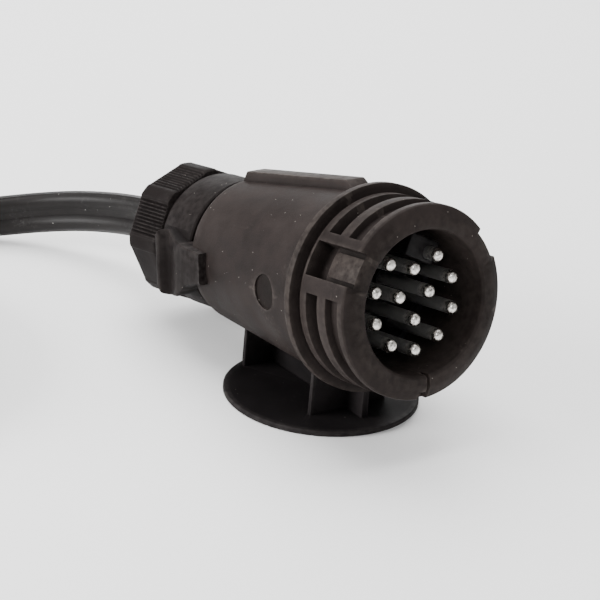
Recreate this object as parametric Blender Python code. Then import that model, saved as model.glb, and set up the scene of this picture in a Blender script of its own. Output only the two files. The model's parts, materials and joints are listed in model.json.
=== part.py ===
"""Thirteen-pin trailer wiring plug on a round foot, with its cable.

Every piece is modelled along the plug's own axis (X, pins forward) and hangs on one
empty that tilts the plug nose up, so that the foot's disc stands flat on z = 0.
"""
import math

import bmesh
import bpy
from mathutils import Matrix, Vector

MM = 0.001
GAP = 0.3 * MM                      # clearance between touching pieces

# Stance
TILT = math.radians(9.3)            # nose-up angle between plug axis and foot
FOOT_X = 16.3 * MM                  # foot centre, from the origin
FOOT_ON_AXIS = -45.4 * MM           # foot centre, along the plug axis
FOOT_DROP = 34.45 * MM              # plug axis above the foot's underside

# Housing, along the axis from the front rim at x = 0
RIM_R = 25.2 * MM
BORE_R = 18.8 * MM
FLANGE_R = 27.45 * MM
FLANGE_X = -20.5 * MM
FLANGE_T = 2.1 * MM
CONE_FRONT_R = 25.75 * MM
CONE_REAR_R = 20.4 * MM
CONE_REAR_X = -75.2 * MM
SEAT_X = -40.0 * MM                 # shoulder that the insert rests on
CHAMBER_R = 17.0 * MM
NECK_R = 16.8 * MM
NECK_X = -79.2 * MM
THREAD_R = 15.2 * MM
SPIGOT_X = -95.7 * MM
SPIGOT_END_X = -108.6 * MM
GLAND_R = 12.3 * MM
GLAND_X = -94.0 * MM
THROAT_R = 9.5 * MM

# Bayonet slots either side, at the same height
SLOT_ANGLES = (math.radians(29.5), math.radians(150.5))
SLOT_W = 9.2 * MM
SLOT_FLOOR_R = 22.4 * MM
SLOT_STEP_X = -13.5 * MM
SLOT_POCKET_R = 20.7 * MM
SLOT_END_X = -18.2 * MM

# Two grooves round the collar (rear x, front x, floor radius), open between these angles
GROOVES = ((-8.5 * MM, -3.6 * MM, 22.3 * MM), (-16.5 * MM, -11.5 * MM, 20.6 * MM))
GROOVE_OUT_R = 28.0 * MM
GROOVE_SPANS = ((math.radians(46.5), math.radians(133.5), 14),
                (math.radians(170.5), math.radians(369.5), 32))

# Small marks: coding slit and lip notch at the bottom, round recess on the near side
SLIT_LOW = Vector((-3.4, 0.2, -30.0)) * MM
SLIT_HIGH = Vector((2.0, 1.1, -15.0)) * MM
NOTCH_LOW = Vector((-3.3, -2.0, -31.0)) * MM
NOTCH_HIGH = Vector((1.9, 0.0, -23.1)) * MM
RECESS_X = -36.0 * MM
RECESS_R = 4.7 * MM
RECESS_FLOOR_Y = -23.9 * MM

# Flat rib along the top: x, underside, top
RIB_HALF_W = 3.0 * MM
RIB_STATIONS = ((-79.0, 15.5, 17.2), (-76.0, 17.0, 22.2), (-27.5, 21.0, 27.1),
                (-23.6, 21.5, 25.9))

# Foot
DISC_R = 26.65 * MM
DISC_T = 1.5 * MM
DISC_EDGE = 0.4 * MM
WEB_T = 2.2 * MM
WEB_ENDS = (-22.8 * MM, 19.5 * MM)
CROSS_RIBS = ((-22.3 * MM, 10.6 * MM), (11.5 * MM, 12.5 * MM))  # x, half width
CROSS_RIB_T = 1.4 * MM
RIB_TOP_Z = 26.5 * MM

# Pins: nine on a circle with the tenth place empty, four inside
PIN_R = 1.75 * MM
PIN_TIP_X = -4.6 * MM
PIN_COLLAR_R = 2.6 * MM
COLLAR_FRONT_X = -32.5 * MM
COLLAR_REAR_X = -33.5 * MM
BARREL_X = -40.1 * MM
BARREL_END_X = -47.0 * MM
BARREL_BORE_R = 1.35 * MM
BARREL_BORE_X = -42.5 * MM
BARREL_R = 2.1 * MM
OUTER_PITCH = math.radians(36.0)
OUTER_PIN_R = 13.0 * MM
INNER_PIN_R = 5.0 * MM
TOP_PIN_R = 8.2 * MM

# Insert
CARRIER_R = 18.45 * MM
CARRIER_FRONT_X = -24.2 * MM
CARRIER_SPLIT_X = -31.9 * MM
CARRIER_REAR_X = -39.7 * MM
SEAL_GROOVE_R = 17.3 * MM
SEAL_X = -28.0 * MM
SEAL_HALF_W = 0.8 * MM
CLIP_X = -23.1 * MM
CLIP_T = 1.2 * MM
CLIP_IN_R = 17.4 * MM
CLIP_OUT_R = 19.6 * MM
CLIP_GAP_START = math.radians(-75.0)
CLIP_GAP_END = math.radians(255.0)
HOLE_R = 2.05 * MM
KEY_ANGLE = math.radians(64.0)
KEY_FRONT_X = -8.2 * MM
KEY_IN_R = 10.0 * MM
KEY_OUT_R = 16.3 * MM
KEY_W = 9.6 * MM
LEAD_R = 0.9 * MM
LEAD_OUTER_R = 4.5 * MM             # where the outer and inner leads enter the cable
LEAD_INNER_R = 1.95 * MM

# Gland
NUT_FRONT_X = -96.2 * MM
NUT_GRIP_END_X = -110.2 * MM
NUT_END_X = -114.0 * MM
NUT_FLAT_R = 18.6 * MM
NUT_CORNER_R = 19.7 * MM
CABLE_HOLE_R = 6.6 * MM
SEAL_OUT_R = 11.9 * MM
SEAL_END_X = -103.6 * MM
CLAMP_END_X = -110.3 * MM
WASHER_X = -111.0 * MM
WASHER_T = 0.8 * MM
WASHER_IN_R = 7.2 * MM
WASHER_OUT_R = 11.2 * MM
NUT_HOLE_R = 7.4 * MM

# Grip ring on the neck, and its thumb lugs: x, inner y, outer y, top z, bottom z
GRIP_IN_R = 17.1 * MM
GRIP_OUT_R = 18.4 * MM
LUG_STATIONS = (
    (-94.6, 13.5, 20.6, 8.6, -9.2), (-93.6, 13.5, 22.1, 9.2, -9.9),
    (-92.0, 13.5, 22.4, 9.4, -10.2), (-90.2, 13.5, 21.0, 9.5, -10.3),
    (-88.0, 13.5, 20.3, 9.4, -10.3), (-85.5, 13.5, 20.4, 8.6, -9.8),
    (-83.0, 13.5, 21.0, 7.0, -8.4), (-80.3, 13.5, 21.8, 5.6, -6.6),
    (-79.6, 21.0, 22.0, 5.3, -6.2), (-76.0, 21.0, 22.6, 4.4, -5.2),
    (-70.4, 21.4, 22.9, 4.0, -5.0))

# Cable and its coil
CABLE_W = 12.6 * MM
COIL_CENTRE = Vector((-72.4, -131.9, 7.5)) * MM
COIL_RING_OUT_R = 70.2 * MM
COIL_RING_IN_R = 41.4 * MM
TIE_T = 0.8 * MM
TIE_W = 7.0 * MM

# Route of the cable outside the gland, by hand, down to the start of the coil
ROUTE = [Vector(p) * MM for p in (
    (-34.9, 0.0, 26.5), (-47.1, 0.0, 24.5), (-60.9, 0.0, 22.3), (-75.0, -0.9, 19.8),
    (-89.0, -3.6, 17.0), (-101.5, -8.6, 14.1), (-111.8, -15.4, 11.2), (-119.6, -24.2, 8.8),
    (-125.0, -34.5, 7.3), (-128.2, -46.5, 6.8), (-130.4, -61.0, 6.9), (-133.6, -93.8, 7.2),
    (-138.2, -120.3, 7.5))]

SEGMENTS = 56


def clear_scene():
    for old in list(bpy.data.objects):
        bpy.data.objects.remove(old, do_unlink=True)


def material(name, colour, roughness, metallic=0.0):
    mat = bpy.data.materials.new(name)
    mat.use_nodes = True
    shader = mat.node_tree.nodes["Principled BSDF"]
    shader.inputs["Base Color"].default_value = (*colour, 1.0)
    shader.inputs["Roughness"].default_value = roughness
    shader.inputs["Metallic"].default_value = metallic
    return mat


def polar(x, radius, angle):
    return Vector((x, radius * math.cos(angle), radius * math.sin(angle)))


def link(name, bm, mat, parent, smooth=35.0):
    bmesh.ops.remove_doubles(bm, verts=bm.verts, dist=1e-7)
    bmesh.ops.recalc_face_normals(bm, faces=bm.faces)
    mesh = bpy.data.meshes.new(name)
    bm.to_mesh(mesh)
    bm.free()
    obj = bpy.data.objects.new(name, mesh)
    bpy.context.collection.objects.link(obj)
    obj.parent = parent
    if mat:
        mesh.materials.append(mat)
    if smooth:
        mesh.shade_smooth()
        mesh.set_sharp_from_angle(angle=math.radians(smooth))
    return obj


def skin(bm, sections, wrap=False, ring=True):
    """Join closed (ring) or open outlines into a surface, capped unless it wraps."""
    loops = [[bm.verts.new(point) for point in section] for section in sections]
    pairs = list(zip(loops, loops[1:]))
    if wrap:
        pairs.append((loops[-1], loops[0]))
    count = len(loops[0])
    for first, second in pairs:
        for i in range(count if ring else count - 1):
            j = (i + 1) % count
            bm.faces.new((first[i], first[j], second[j], second[i]))
    if not wrap:
        bm.faces.new(loops[0])
        bm.faces.new(reversed(loops[-1]))


def turned_sections(outline, steps):
    angles = [2 * math.pi * k / steps for k in range(steps)]
    return [[polar(x, r, a) for x, r in outline] for a in angles]


def turned(name, outline, mat, parent, steps=SEGMENTS, on_axis=False):
    """Turn an (x, radius) outline about the X axis."""
    bm = bmesh.new()
    skin(bm, turned_sections(outline, steps), wrap=True, ring=not on_axis)
    return link(name, bm, mat, parent)


def cutter(name, bm, parent):
    obj = link(name, bm, None, parent, smooth=None)
    obj.hide_render = True
    obj.display_type = "WIRE"
    return obj


def combine(obj, tool, operation="DIFFERENCE"):
    modifier = obj.modifiers.new(tool.name, "BOOLEAN")
    modifier.object = tool
    modifier.operation = operation
    modifier.solver = "EXACT"


def arc_block(bm, x_low, x_high, r_low, r_high, start, end, steps):
    outline = ((x_low, r_low), (x_high, r_low), (x_high, r_high), (x_low, r_high))
    angles = [start + (end - start) * k / steps for k in range(steps + 1)]
    skin(bm, [[polar(x, r, a) for x, r in outline] for a in angles])


def side_block(bm, x_low, x_high, r_low, r_high, width, angle):
    """A square-sided block standing out radially at an angle."""
    out = polar(0, 1, angle)
    side = polar(0, 1, angle + math.pi / 2)
    half = width / 2
    corners = ((r_low, -half), (r_high, -half), (r_high, half), (r_low, half))
    skin(bm, [[Vector((x, 0, 0)) + out * r + side * s for r, s in corners]
              for x in (x_low, x_high)])


def box(bm, low, high):
    skin(bm, [[Vector((x, low[1], low[2])), Vector((x, high[1], low[2])),
               Vector((x, high[1], high[2])), Vector((x, low[1], high[2]))]
              for x in (low[0], high[0])])


def rods(bm, places, radius, x_low, x_high, steps):
    for y, z in places:
        skin(bm, [[Vector((x, y, z)) + polar(0, radius, 2 * math.pi * k / steps)
                   for k in range(steps)] for x in (x_low, x_high)])


def cone_r(x):
    front = FLANGE_X - FLANGE_T
    share = (x - front) / (CONE_REAR_X - front)
    return CONE_FRONT_R + share * (CONE_REAR_R - CONE_FRONT_R)


def pin_places():
    top = math.pi / 2
    outer = [top - OUTER_PITCH * k for k in range(1, 10)]
    inner = [top - 2 * OUTER_PITCH, top + 2 * OUTER_PITCH, -top]
    places = [(OUTER_PIN_R, a) for a in outer] + [(INNER_PIN_R, a) for a in inner]
    places.append((TOP_PIN_R, top))
    return places


def smooth_route(points, per_span):
    """Read a Catmull-Rom curve through the points."""
    padded = [points[0] * 2 - points[1]] + points + [points[-1] * 2 - points[-2]]
    out = []
    for i in range(1, len(padded) - 2):
        p0, p1, p2, p3 = padded[i - 1:i + 3]
        for k in range(per_span):
            t = k / per_span
            out.append(0.5 * (2 * p1 + (p2 - p0) * t + (2 * p0 - 5 * p1 + 4 * p2 - p3) * t ** 2
                              + (3 * p1 - p0 - 3 * p2 + p3) * t ** 3))
    out.append(points[-1])
    return out


def tube_sections(points, radius, steps):
    sections = []
    for i, point in enumerate(points):
        ahead = points[min(i + 1, len(points) - 1)] - points[max(i - 1, 0)]
        side = ahead.cross(Vector((0, 0, 1))).normalized()
        up = side.cross(ahead).normalized()
        sections.append([point + (side * math.cos(a) + up * math.sin(a)) * radius
                         for a in (2 * math.pi * k / steps for k in range(steps))])
    return sections


def make_housing(frame, mat):
    flange_rear = FLANGE_X - FLANGE_T
    outline = [
        (-0.6 * MM, BORE_R), (0, BORE_R + 0.6 * MM), (0, 22.0 * MM), (-1.3 * MM, 24.9 * MM),
        (-1.8 * MM, RIM_R), (-19.0 * MM, RIM_R), (-19.0 * MM, 24.4 * MM), (FLANGE_X, 24.4 * MM),
        (FLANGE_X, FLANGE_R - 0.3 * MM), (FLANGE_X - 0.3 * MM, FLANGE_R),
        (flange_rear + 0.3 * MM, FLANGE_R), (flange_rear, FLANGE_R - 0.3 * MM),
        (flange_rear, CONE_FRONT_R), (CONE_REAR_X, CONE_REAR_R), (-77.4 * MM, 19.5 * MM),
        (-78.8 * MM, 18.1 * MM), (NECK_X, NECK_R), (SPIGOT_X, NECK_R), (SPIGOT_X, THREAD_R),
        (-108.0 * MM, THREAD_R), (SPIGOT_END_X, 14.6 * MM), (SPIGOT_END_X, GLAND_R),
        (GLAND_X, GLAND_R), (GLAND_X, THROAT_R), (-79.5 * MM, THROAT_R), (-72.5 * MM, CHAMBER_R),
        (SEAT_X, CHAMBER_R), (SEAT_X, BORE_R), (-24.0 * MM, BORE_R), (-24.0 * MM, 19.9 * MM),
        (-22.2 * MM, 19.9 * MM), (-22.2 * MM, BORE_R)]
    housing = turned("housing", outline, mat, frame)
    # The grooves stop short of the slots, which leaves a wall beside each slot
    pockets = bmesh.new()
    for x_low, x_high, floor in GROOVES:
        for start, end, steps in GROOVE_SPANS:
            arc_block(pockets, x_low, x_high, floor, GROOVE_OUT_R, start, end, steps)
    combine(housing, cutter("groove_cutter", pockets, frame))
    slots = bmesh.new()
    steps_down = bmesh.new()
    for angle in SLOT_ANGLES:
        side_block(slots, SLOT_END_X, 2 * MM, SLOT_FLOOR_R, 30 * MM, SLOT_W, angle)
        side_block(steps_down, SLOT_END_X + 0.01 * MM, SLOT_STEP_X, SLOT_POCKET_R, 29 * MM,
                   SLOT_W - 0.02 * MM, angle)
    combine(housing, cutter("slot_cutter", slots, frame))
    combine(housing, cutter("slot_pocket_cutter", steps_down, frame))
    marks = bmesh.new()
    box(marks, SLIT_LOW, SLIT_HIGH)
    box(marks, NOTCH_LOW, NOTCH_HIGH)
    steps = 24
    skin(marks, [[Vector((RECESS_X + RECESS_R * math.cos(a), y, RECESS_R * math.sin(a)))
                  for a in (2 * math.pi * k / steps for k in range(steps))]
                 for y in (-30.0 * MM, RECESS_FLOOR_Y)])
    combine(housing, cutter("mark_cutter", marks, frame))
    rib = bmesh.new()
    half = RIB_HALF_W
    skin(rib, [[Vector((x * MM, -half, low_z * MM)), Vector((x * MM, half, low_z * MM)),
                Vector((x * MM, half, top_z * MM)), Vector((x * MM, -half, top_z * MM))]
               for x, low_z, top_z in RIB_STATIONS])
    combine(housing, cutter("top_rib", rib, frame), "UNION")
    return housing


def make_foot(stand, mat):
    """Disc on the floor, a lengthwise web and two cross ribs up to the housing."""
    disc = bmesh.new()
    low_edge, inner_r = DISC_T - DISC_EDGE, DISC_R - DISC_EDGE
    outline = [(0, 0), (0, inner_r), (DISC_EDGE, DISC_R), (low_edge, DISC_R),
               (DISC_T, inner_r), (DISC_T, 0)]
    skin(disc, turned_sections(outline, SEGMENTS), wrap=True, ring=False)
    bmesh.ops.rotate(disc, verts=disc.verts, matrix=Matrix.Rotation(-math.pi / 2, 3, "Y"))
    foot = link("foot", disc, mat, stand)
    web = bmesh.new()
    box(web, (WEB_ENDS[0], -WEB_T / 2, DISC_T / 2), (WEB_ENDS[1], WEB_T / 2, RIB_TOP_Z))
    combine(foot, cutter("foot_web", web, stand), "UNION")
    for number, (x, half) in enumerate(CROSS_RIBS, 1):
        rib = bmesh.new()
        low_x, high_x = x - CROSS_RIB_T / 2, x + CROSS_RIB_T / 2
        low_z = DISC_T / 2 + number * 0.1 * MM
        box(rib, (low_x, -half, low_z), (high_x, half, RIB_TOP_Z + number * 0.1 * MM))
        combine(foot, cutter(f"foot_rib_{number}", rib, stand), "UNION")
    return foot


def trim_foot(foot, frame):
    """Clear the foot's ribs away from the housing."""
    clear = bmesh.new()
    front = FLANGE_X - FLANGE_T
    skin(clear, turned_sections(
        [(-90 * MM, 0), (-90 * MM, 19.5 * MM), (-79.5 * MM, cone_r(-79.5 * MM) + GAP),
         (front - GAP, CONE_FRONT_R + GAP), (front - GAP, FLANGE_R + GAP),
         (5 * MM, FLANGE_R + GAP), (5 * MM, 0)], 48), wrap=True, ring=False)
    combine(foot, cutter("foot_clearance", clear, frame))


def make_insert(frame, moulded, rubber, metal, contact, lead_colours):
    places = pin_places()
    spots = [(r * math.cos(a), r * math.sin(a)) for r, a in places]
    groove_front, groove_rear = SEAL_X + SEAL_HALF_W, SEAL_X - SEAL_HALF_W
    front = turned("pin_carrier", [
        (CARRIER_FRONT_X, 0), (CARRIER_FRONT_X, CARRIER_R - 0.45 * MM),
        (CARRIER_FRONT_X - 0.4 * MM, CARRIER_R), (groove_front, CARRIER_R),
        (groove_front, SEAL_GROOVE_R), (groove_rear, SEAL_GROOVE_R), (groove_rear, CARRIER_R),
        (CARRIER_SPLIT_X, CARRIER_R), (CARRIER_SPLIT_X, 0)],
        moulded, frame, 40, on_axis=True)
    key = bmesh.new()
    side_block(key, CARRIER_FRONT_X - 1.3 * MM, KEY_FRONT_X, KEY_IN_R, KEY_OUT_R, KEY_W,
               KEY_ANGLE)
    combine(front, cutter("key_block", key, frame), "UNION")
    holes = bmesh.new()
    rods(holes, spots, HOLE_R, -45 * MM, 0, 10)
    hole_tool = cutter("hole_cutter", holes, frame)
    combine(front, hole_tool)
    rear_front_x = CARRIER_SPLIT_X - GAP
    rear = turned("terminal_carrier", [
        (rear_front_x, 0), (rear_front_x, CARRIER_R), (CARRIER_REAR_X, CARRIER_R),
        (CARRIER_REAR_X, 0)], moulded, frame, 40, on_axis=True)
    combine(rear, hole_tool)
    seats = bmesh.new()
    rods(seats, spots, PIN_COLLAR_R + GAP, COLLAR_REAR_X - GAP, -30 * MM, 12)
    combine(rear, cutter("collar_seat_cutter", seats, frame))

    low_r, high_r, half = SEAL_GROOVE_R + GAP, BORE_R - 0.2 * MM, SEAL_HALF_W - 0.2 * MM
    turned("insert_seal", [(SEAL_X + half, low_r), (SEAL_X - half, low_r),
                           (SEAL_X - half, high_r - GAP), (SEAL_X - half / 2, high_r),
                           (SEAL_X + half / 2, high_r), (SEAL_X + half, high_r - GAP)],
           rubber, frame, 40)
    clip = bmesh.new()
    arc_block(clip, CLIP_X - CLIP_T / 2, CLIP_X + CLIP_T / 2, CLIP_IN_R, CLIP_OUT_R,
              CLIP_GAP_START, CLIP_GAP_END, 40)
    link("insert_clip", clip, metal, frame)

    pin_outline = [(PIN_TIP_X, 0), (PIN_TIP_X - 0.25 * MM, 0.95 * MM),
                   (PIN_TIP_X - 1.0 * MM, 1.5 * MM),
                   (PIN_TIP_X - 2.2 * MM, PIN_R), (COLLAR_FRONT_X, PIN_R), (COLLAR_FRONT_X, PIN_COLLAR_R),
                   (COLLAR_REAR_X, PIN_COLLAR_R), (COLLAR_REAR_X, PIN_R), (BARREL_X, PIN_R),
                   (BARREL_X, BARREL_R), (BARREL_END_X, BARREL_R), (BARREL_END_X, BARREL_BORE_R),
                   (BARREL_BORE_X, BARREL_BORE_R), (BARREL_BORE_X, 0)]
    for number, (radius, angle) in enumerate(places, 1):
        label = f"{number:02d}"
        pin = turned("contact_pin_" + label, pin_outline, contact, frame, 10, on_axis=True)
        pin.location = polar(0, radius, angle)
        close = LEAD_INNER_R if radius < OUTER_PIN_R else LEAD_OUTER_R
        stations = ((-43.0, 0.0), (-49.5, 0.0), (-53.0, 0.08), (-57.0, 0.3), (-61.0, 0.6),
                    (-65.0, 0.85), (-69.0, 0.97), (-73.0, 1.0), (-90.8, 1.0))
        route = [polar(x * MM, radius + (close - radius) * share, angle)
                 for x, share in stations]
        lead = bmesh.new()
        skin(lead, tube_sections(route, LEAD_R, 6))
        link("lead_" + label, lead, lead_colours[number % len(lead_colours)], frame)


def make_grip_ring(frame, mat):
    """Sleeve on the neck with a scooped thumb lug at each side."""
    front_x, rear_x = NECK_X - 0.5 * MM, SPIGOT_X + 0.3 * MM
    ring = turned("grip_ring", [(front_x, GRIP_IN_R), (front_x, GRIP_OUT_R - 0.4 * MM),
                                (front_x - 0.4 * MM, GRIP_OUT_R),
                                (rear_x + 0.3 * MM, GRIP_OUT_R), (rear_x, GRIP_OUT_R - 0.3 * MM),
                                (rear_x, GRIP_IN_R)], mat, frame)
    for side, label in ((-1, "near"), (1, "far")):
        lug = bmesh.new()
        skin(lug, [[Vector((x, side * inner, low)) * MM, Vector((x, side * outer, low)) * MM,
                    Vector((x, side * outer, top)) * MM, Vector((x, side * inner, top)) * MM]
                   for x, inner, outer, top, low in LUG_STATIONS])
        combine(ring, cutter("lug_" + label, lug, frame), "UNION")
    bore = bmesh.new()
    skin(bore, turned_sections([(rear_x - 3 * MM, 0), (rear_x - 3 * MM, GRIP_IN_R),
                                (NECK_X + 0.7 * MM, GRIP_IN_R), (NECK_X + 0.7 * MM, 0)],
                               SEGMENTS), wrap=True, ring=False)
    combine(ring, cutter("grip_bore", bore, frame))
    return ring


def nut_radius(angle):
    """Eight flats with rounded corner bands between them."""
    pitch = math.pi / 4
    off = abs((angle % pitch) - pitch / 2)
    flat = NUT_FLAT_R / math.cos(off)
    return min(flat, NUT_CORNER_R)


def make_gland(frame, moulded, rubber, metal):
    front_x, rear_x = GLAND_X - GAP, SEAL_END_X
    turned("cable_seal", [(front_x, CABLE_HOLE_R), (front_x, SEAL_OUT_R),
                          (rear_x, SEAL_OUT_R), (rear_x, CABLE_HOLE_R)], rubber, frame, 32)
    front_x, shoulder_x, rear_x = SEAL_END_X - GAP, SPIGOT_END_X + 0.2 * MM, CLAMP_END_X
    turned("clamp_ring", [(front_x, CABLE_HOLE_R), (front_x, SEAL_OUT_R),
                          (shoulder_x, SEAL_OUT_R), (rear_x, SEAL_OUT_R - 1.3 * MM),
                          (rear_x, CABLE_HOLE_R)], moulded, frame, 32)
    front_x, rear_x = WASHER_X + WASHER_T / 2, WASHER_X - WASHER_T / 2
    turned("slip_washer", [(front_x, WASHER_IN_R), (front_x, WASHER_OUT_R),
                           (rear_x, WASHER_OUT_R), (rear_x, WASHER_IN_R)], metal, frame, 32)
    steps = 64
    sections = []
    for k in range(steps):
        angle = 2 * math.pi * k / steps
        grip = nut_radius(angle)
        outline = [
            (NUT_FRONT_X, THREAD_R + GAP), (NUT_FRONT_X, grip - 0.5 * MM),
            (NUT_FRONT_X - 0.5 * MM, grip), (NUT_GRIP_END_X, grip),
            (NUT_END_X + 1.2 * MM, grip - 3.6 * MM), (NUT_END_X, grip - 6.4 * MM),
            (NUT_END_X, NUT_HOLE_R), (rear_x - 0.4 * MM, NUT_HOLE_R), (rear_x - 0.4 * MM, 11.6 * MM),
            (-110.0 * MM, 12.6 * MM), (-109.0 * MM, THREAD_R + GAP)]
        sections.append([polar(x, r, angle) for x, r in outline])
    nut = bmesh.new()
    skin(nut, sections, wrap=True)
    link("gland_nut", nut, moulded, frame)


def make_cable(jacket, tie_mat):
    points = smooth_route(ROUTE, 3)
    curve = bpy.data.curves.new("cable_lead", "CURVE")
    curve.dimensions = "3D"
    curve.bevel_depth = CABLE_W / 2
    curve.bevel_resolution = 2
    curve.use_fill_caps = True
    spline = curve.splines.new("POLY")
    spline.points.add(len(points) - 1)
    for spot, point in zip(spline.points, points):
        spot.co = (*point, 1.0)
    curve.materials.append(jacket)
    lead = bpy.data.objects.new("cable_lead", curve)
    bpy.context.collection.objects.link(lead)

    half = CABLE_W / 2
    steps = 48
    outline = [(COIL_RING_IN_R, -half), (COIL_RING_OUT_R, -half), (COIL_RING_OUT_R, half),
               (COIL_RING_IN_R, half)]
    ring = bmesh.new()
    skin(ring, [[COIL_CENTRE + Vector((r * math.cos(a), r * math.sin(a), z))
                 for r, z in outline] for a in (2 * math.pi * k / steps for k in range(steps))],
         wrap=True)
    coil = link("cable_coil", ring, jacket, None)
    # The lead enters the coil along its outer turn
    ahead = (points[-1] - points[-2]).normalized()
    channel = bmesh.new()
    skin(channel, tube_sections(points[-12:] + [points[-1] + ahead * 0.6 * MM],
                                half + GAP + 0.2 * MM, 12))
    combine(coil, cutter("coil_channel", channel, None))

    # Strap round all the turns on the far side of the coil
    low_r, high_r = COIL_RING_IN_R - 2 * GAP, COIL_RING_OUT_R + GAP
    low_z, high_z = COIL_CENTRE.z - half - GAP, COIL_CENTRE.z + half + GAP
    strap = bmesh.new()
    frame_r = ((low_r, low_z), (high_r, low_z), (high_r, high_z), (low_r, high_z))
    frame_out = ((low_r - TIE_T, low_z - TIE_T), (high_r + TIE_T, low_z - TIE_T),
                 (high_r + TIE_T, high_z + TIE_T), (low_r - TIE_T, high_z + TIE_T))
    sections = []
    for (r_in, z_in), (r_out, z_out) in zip(frame_r, frame_out):
        section = []
        for r, z, side in ((r_in, z_in, -1), (r_out, z_out, -1), (r_out, z_out, 1), (r_in, z_in, 1)):
            section.append(Vector((COIL_CENTRE.x + side * TIE_W / 2, COIL_CENTRE.y - r, z)))
        sections.append(section)
    skin(strap, sections, wrap=True)
    link("cable_tie", strap, tie_mat, None)


def main():
    clear_scene()
    black = material("housing_black", (0.022, 0.020, 0.019), 0.5)
    foot_black = material("foot_black", (0.014, 0.014, 0.014), 0.38)
    gland_black = material("gland_black", (0.020, 0.019, 0.018), 0.52)
    insert_black = material("insert_black", (0.012, 0.012, 0.012), 0.45)
    rubber = material("seal_rubber", (0.015, 0.015, 0.016), 0.7)
    steel = material("spring_steel", (0.10, 0.10, 0.11), 0.4, 1.0)
    nickel = material("nickel_pin", (0.72, 0.70, 0.66), 0.25, 1.0)
    jacket = material("cable_jacket", (0.025, 0.024, 0.024), 0.42)
    tie = material("tie_black", (0.02, 0.02, 0.02), 0.6)
    leads = [material("lead_red", (0.45, 0.03, 0.02), 0.45),
             material("lead_white", (0.7, 0.7, 0.66), 0.45),
             material("lead_blue", (0.03, 0.08, 0.4), 0.45),
             material("lead_brown", (0.12, 0.05, 0.02), 0.45)]

    stand = bpy.data.objects.new("stand", None)
    stand.location = (FOOT_X, 0, 0)
    frame = bpy.data.objects.new("plug_axis", None)
    frame.rotation_euler = (0, -TILT, 0)
    turn = Matrix.Rotation(-TILT, 3, "Y")
    frame.location = stand.location - turn @ Vector((FOOT_ON_AXIS, 0, -FOOT_DROP))
    for empty in (stand, frame):
        bpy.context.collection.objects.link(empty)

    make_housing(frame, black)
    foot = make_foot(stand, foot_black)
    trim_foot(foot, frame)
    make_insert(frame, insert_black, rubber, steel, nickel, leads)
    make_grip_ring(frame, gland_black)
    make_gland(frame, gland_black, rubber, steel)
    make_cable(jacket, tie)


main()
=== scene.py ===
import json
import math

import bmesh
import bpy
from mathutils import Matrix, Quaternion, Vector


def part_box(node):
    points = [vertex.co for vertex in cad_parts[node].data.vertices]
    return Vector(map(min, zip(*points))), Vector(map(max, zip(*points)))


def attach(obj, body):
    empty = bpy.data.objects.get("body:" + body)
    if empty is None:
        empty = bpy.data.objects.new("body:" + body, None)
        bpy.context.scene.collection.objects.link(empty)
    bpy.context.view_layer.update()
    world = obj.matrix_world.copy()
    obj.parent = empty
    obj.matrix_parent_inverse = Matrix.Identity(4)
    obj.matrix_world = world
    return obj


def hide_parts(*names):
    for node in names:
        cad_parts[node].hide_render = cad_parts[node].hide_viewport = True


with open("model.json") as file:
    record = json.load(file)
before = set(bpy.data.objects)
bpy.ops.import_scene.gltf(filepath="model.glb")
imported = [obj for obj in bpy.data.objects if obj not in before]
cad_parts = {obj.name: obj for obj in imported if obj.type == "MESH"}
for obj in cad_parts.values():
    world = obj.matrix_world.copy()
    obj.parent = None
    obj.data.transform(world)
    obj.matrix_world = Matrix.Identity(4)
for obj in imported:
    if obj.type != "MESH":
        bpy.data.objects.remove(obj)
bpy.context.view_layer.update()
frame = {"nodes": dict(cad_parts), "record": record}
print("frame loaded")

mm = 0.001

# The plug's own axis comes from the joint that turns its insert: x runs forward, 0 at the rim
twistBehindRim = 30
twist = next(joint for joint in frame["record"]["behaviour"]["joints"]
             if joint["name"] == "insert_twist")
forward = Vector(twist["axis"])
rimCentre = Vector(twist["pos_m"]) + forward * twistBehindRim * mm
onAxis = (Matrix.Translation(rimCentre)
          @ Matrix.Rotation(-math.atan2(forward.z, forward.x), 4, "Y")
          @ Matrix.Scale(mm, 4))
footLow, footHigh = [Vector(corner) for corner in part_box("foot")]
onFoot = (Matrix.Translation(((footLow.x + footHigh.x) / 2, 0, footLow.z))
          @ Matrix.Scale(mm, 4))


# The mesh helpers work in millimetres until a piece is finished

def fillOut(outline, spacing):
    # adds points along the long straight stretches of an outline
    filled = []
    for first, second in zip(outline, outline[1:]):
        count = max(1, round(math.dist(first, second) / spacing))
        filled += [(first[0] + (second[0] - first[0]) * step / count,
                    first[1] + (second[1] - first[1]) * step / count)
                   for step in range(count)]
    return filled + [outline[-1]]


def turnOutline(outline, steps, closed=True, spacing=None):
    # spins a drawn outline of (x, radius) about the plug's axis
    bm = bmesh.new()
    if spacing:
        outline = fillOut(outline, spacing)
    corners = [bm.verts.new((x, 0, radius)) for x, radius in outline]
    pairs = list(zip(corners, corners[1:]))
    if closed:
        pairs.append((corners[-1], corners[0]))
    edges = [bm.edges.new(pair) for pair in pairs]
    bmesh.ops.spin(bm, geom=corners + edges, cent=(0, 0, 0), axis=(1, 0, 0),
                   dvec=(0, 0, 0), angle=math.tau, steps=steps, use_merge=True)
    cleanUp(bm)
    return bm


def cleanUp(bm):
    bmesh.ops.remove_doubles(bm, verts=bm.verts, dist=0.002)
    bmesh.ops.recalc_face_normals(bm, faces=bm.faces)


def softenEdges(bm, width, sharpness=30, segments=2, among=None):
    edges = [edge for edge in (among or bm.edges)
             if len(edge.link_faces) == 2
             and edge.calc_face_angle() > math.radians(sharpness)]
    bmesh.ops.bevel(bm, geom=edges, offset=width, offset_type="OFFSET", segments=segments,
                    profile=0.5, affect="EDGES", material=-1, clamp_overlap=True)


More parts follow.
